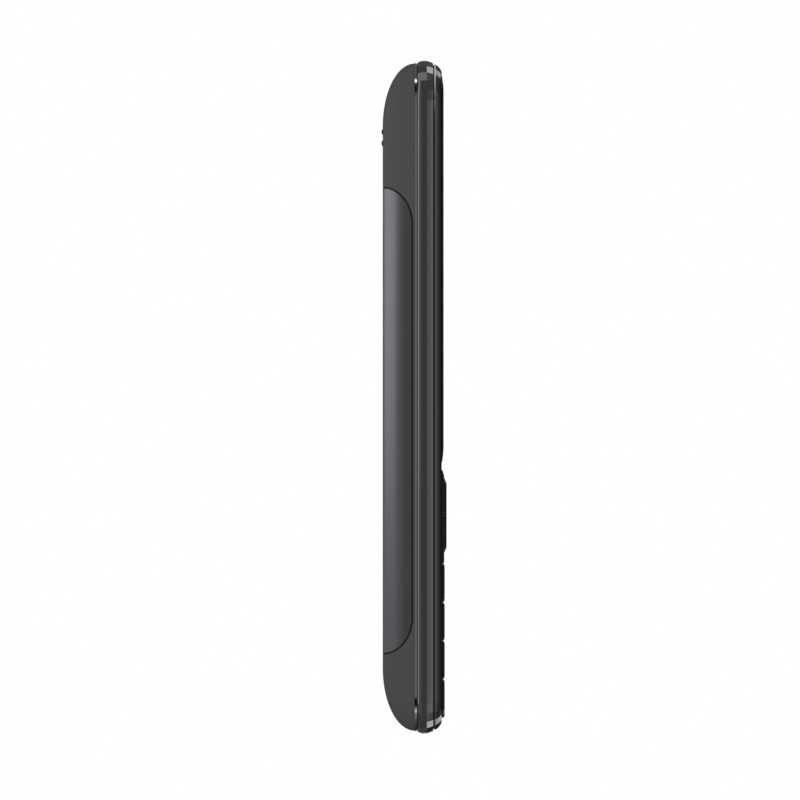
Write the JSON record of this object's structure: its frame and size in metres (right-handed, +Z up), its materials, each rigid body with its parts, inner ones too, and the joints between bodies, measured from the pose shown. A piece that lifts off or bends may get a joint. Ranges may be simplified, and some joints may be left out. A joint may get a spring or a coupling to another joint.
{
  "type": "bar phone",
  "caption": "Slim upright bar phone with a display lens, navigation ring, number keys, faceted side band and a wrap-round battery cover.",
  "frame": {"origin": "centre of the overall box across and from front to back, at the lowest point of the bottom end", "axes": "+Z up the length of the phone, -Y out of the screen and keys, +X to the right seen from the screen side"},
  "size_m": [0.051, 0.0116, 0.12],
  "materials": {
    "rear_plastic": "fine matt",
    "cover_metal": "satin anodised",
    "trim_gloss": "gloss",
    "frame_metal": "satin dark anodised",
    "front_gloss": "semi-gloss",
    "lens_glass": "gloss, black printed border",
    "key_gloss": "gloss black",
    "ring_metal": "satin",
    "rubber_grey": "matt",
    "steel": "bright",
    "board_green": "solder mask",
    "battery_wrap": "label film",
    "display_glass": "polished",
    "white_plastic": "matt",
    "gold_plate": "plated",
    "black_plastic": "matt",
    "card_plastic": "matt"
  },
  "bodies": {
    "root": {"antenna": "gold_plate", "antenna_carrier": "black_plastic", "battery_contacts": "gold_plate", "camera_module": "black_plastic", "camera_ring": "ring_metal", "camera_window": "lens_glass", "case_screws": "steel", "display_lens": "lens_glass", "dome_sheet": "steel", "earpiece": "black_plastic", "earpiece_mesh": "steel", "front_frame": "front_gloss", "headset_jack": "black_plastic", "keymat": "rubber_grey", "lcd_backlight": "white_plastic", "lcd_flex": "gold_plate", "lcd_gasket": "rubber_grey", "lcd_glass": "display_glass", "loudspeaker": "black_plastic", "main_board": "board_green", "memory_card_holder": "steel", "microphone": "black_plastic", "mid_frame": "frame_metal", "processor_chip": "black_plastic", "rear_case": "rear_plastic", "shield_can_lower": "steel", "shield_can_upper": "steel", "sim_holder": "steel", "speaker_grille": "black_plastic", "speaker_mesh": "steel", "trim_ring": "trim_gloss", "usb_socket": "steel", "vibration_motor": "steel"},
    "key_1": {"key_1": "key_gloss"},
    "key_2": {"key_2": "key_gloss"},
    "key_3": {"key_3": "key_gloss"},
    "key_4": {"key_4": "key_gloss"},
    "key_5": {"key_5": "key_gloss"},
    "key_6": {"key_6": "key_gloss"},
    "key_7": {"key_7": "key_gloss"},
    "key_8": {"key_8": "key_gloss"},
    "key_9": {"key_9": "key_gloss"},
    "key_star": {"key_star": "key_gloss"},
    "key_0": {"key_0": "key_gloss"},
    "key_hash": {"key_hash": "key_gloss"},
    "soft_key_left": {"soft_key_left": "key_gloss"},
    "soft_key_right": {"soft_key_right": "key_gloss"},
    "call_key": {"call_key": "key_gloss"},
    "end_key": {"end_key": "key_gloss"},
    "ok_key": {"ok_key": "key_gloss"},
    "hub": {"nav_hub": "steel"},
    "nav_ring": {"nav_ring": "ring_metal"},
    "battery_cover": {"battery_cover": "cover_metal"},
    "battery": {"battery": "battery_wrap"},
    "sim_card": {"sim_card": "card_plastic"},
    "memory_card": {"memory_card": "black_plastic"},
    "motor_weight": {"motor_weight": "steel"}
  },
  "joints": [
    {"name": "key_1_press", "type": "slide", "parent": "root", "child": "key_1", "axis": [0, 1, 0], "range_m": [0, 0.00025], "stiffness_N_per_m": 200, "deforming": ["keymat", "dome_sheet"]},
    {"name": "key_2_press", "type": "slide", "parent": "root", "child": "key_2", "axis": [0, 1, 0], "range_m": [0, 0.00025], "stiffness_N_per_m": 200, "deforming": ["keymat", "dome_sheet"]},
    {"name": "key_3_press", "type": "slide", "parent": "root", "child": "key_3", "axis": [0, 1, 0], "range_m": [0, 0.00025], "stiffness_N_per_m": 200, "deforming": ["keymat", "dome_sheet"]},
    {"name": "key_4_press", "type": "slide", "parent": "root", "child": "key_4", "axis": [0, 1, 0], "range_m": [0, 0.00025], "stiffness_N_per_m": 200, "deforming": ["keymat", "dome_sheet"]},
    {"name": "key_5_press", "type": "slide", "parent": "root", "child": "key_5", "axis": [0, 1, 0], "range_m": [0, 0.00025], "stiffness_N_per_m": 200, "deforming": ["keymat", "dome_sheet"]},
    {"name": "key_6_press", "type": "slide", "parent": "root", "child": "key_6", "axis": [0, 1, 0], "range_m": [0, 0.00025], "stiffness_N_per_m": 200, "deforming": ["keymat", "dome_sheet"]},
    {"name": "key_7_press", "type": "slide", "parent": "root", "child": "key_7", "axis": [0, 1, 0], "range_m": [0, 0.00025], "stiffness_N_per_m": 200, "deforming": ["keymat", "dome_sheet"]},
    {"name": "key_8_press", "type": "slide", "parent": "root", "child": "key_8", "axis": [0, 1, 0], "range_m": [0, 0.00025], "stiffness_N_per_m": 200, "deforming": ["keymat", "dome_sheet"]},
    {"name": "key_9_press", "type": "slide", "parent": "root", "child": "key_9", "axis": [0, 1, 0], "range_m": [0, 0.00025], "stiffness_N_per_m": 200, "deforming": ["keymat", "dome_sheet"]},
    {"name": "key_star_press", "type": "slide", "parent": "root", "child": "key_star", "axis": [0, 1, 0], "range_m": [0, 0.00025], "stiffness_N_per_m": 200, "deforming": ["keymat", "dome_sheet"]},
    {"name": "key_0_press", "type": "slide", "parent": "root", "child": "key_0", "axis": [0, 1, 0], "range_m": [0, 0.00025], "stiffness_N_per_m": 200, "deforming": ["keymat", "dome_sheet"]},
    {"name": "key_hash_press", "type": "slide", "parent": "root", "child": "key_hash", "axis": [0, 1, 0], "range_m": [0, 0.00025], "stiffness_N_per_m": 200, "deforming": ["keymat", "dome_sheet"]},
    {"name": "soft_key_left_press", "type": "slide", "parent": "root", "child": "soft_key_left", "axis": [0, 1, 0], "range_m": [0, 0.00025], "stiffness_N_per_m": 200, "deforming": ["keymat", "dome_sheet"]},
    {"name": "soft_key_right_press", "type": "slide", "parent": "root", "child": "soft_key_right", "axis": [0, 1, 0], "range_m": [0, 0.00025], "stiffness_N_per_m": 200, "deforming": ["keymat", "dome_sheet"]},
    {"name": "call_key_press", "type": "slide", "parent": "root", "child": "call_key", "axis": [0, 1, 0], "range_m": [0, 0.00025], "stiffness_N_per_m": 200, "deforming": ["keymat", "dome_sheet"]},
    {"name": "end_key_press", "type": "slide", "parent": "root", "child": "end_key", "axis": [0, 1, 0], "range_m": [0, 0.00025], "stiffness_N_per_m": 200, "deforming": ["keymat", "dome_sheet"]},
    {"name": "ok_key_press", "type": "slide", "parent": "root", "child": "ok_key", "axis": [0, 1, 0], "range_m": [0, 0.0002], "stiffness_N_per_m": 200, "deforming": ["keymat", "dome_sheet"]},
    {"name": "nav_tilt_up_down", "type": "hinge", "parent": "root", "child": "hub", "pos_m": [0, -0.0038, 0.0389], "axis": [1, 0, 0], "range_deg": [-2, 2], "stiffness_Nm_per_rad": 0.02, "deforming": ["keymat", "dome_sheet"]},
    {"name": "nav_tilt_left_right", "type": "hinge", "parent": "hub", "child": "nav_ring", "pos_m": [0, -0.0038, 0.0389], "axis": [0, 0, 1], "range_deg": [-1.5, 1.5], "stiffness_Nm_per_rad": 0.02, "deforming": ["keymat", "dome_sheet"]},
    {"name": "cover_off", "type": "slide", "parent": "root", "child": "battery_cover", "axis": [0, 1, 0], "range_m": [0, 0.03]},
    {"name": "battery_out", "type": "slide", "parent": "root", "child": "battery", "axis": [0, 1, 0], "range_m": [0, 0.015]},
    {"name": "sim_card_out", "type": "slide", "parent": "root", "child": "sim_card", "axis": [0, 0, -1], "range_m": [0, 0.015]},
    {"name": "memory_card_out", "type": "slide", "parent": "root", "child": "memory_card", "axis": [0, 0, -1], "range_m": [0, 0.015]},
    {"name": "motor_weight_spin", "type": "hinge", "parent": "root", "child": "motor_weight", "pos_m": [-0.0078, 0.001, 0.0088], "axis": [1, 0, 0], "continuous": true}
  ],
  "couplings": [
    {"joint": "battery_out", "follows": "cover_off", "ratio": 0.5},
    {"joint": "sim_card_out", "follows": "cover_off", "ratio": 0.5},
    {"joint": "memory_card_out", "follows": "cover_off", "ratio": 0.5}
  ]
}
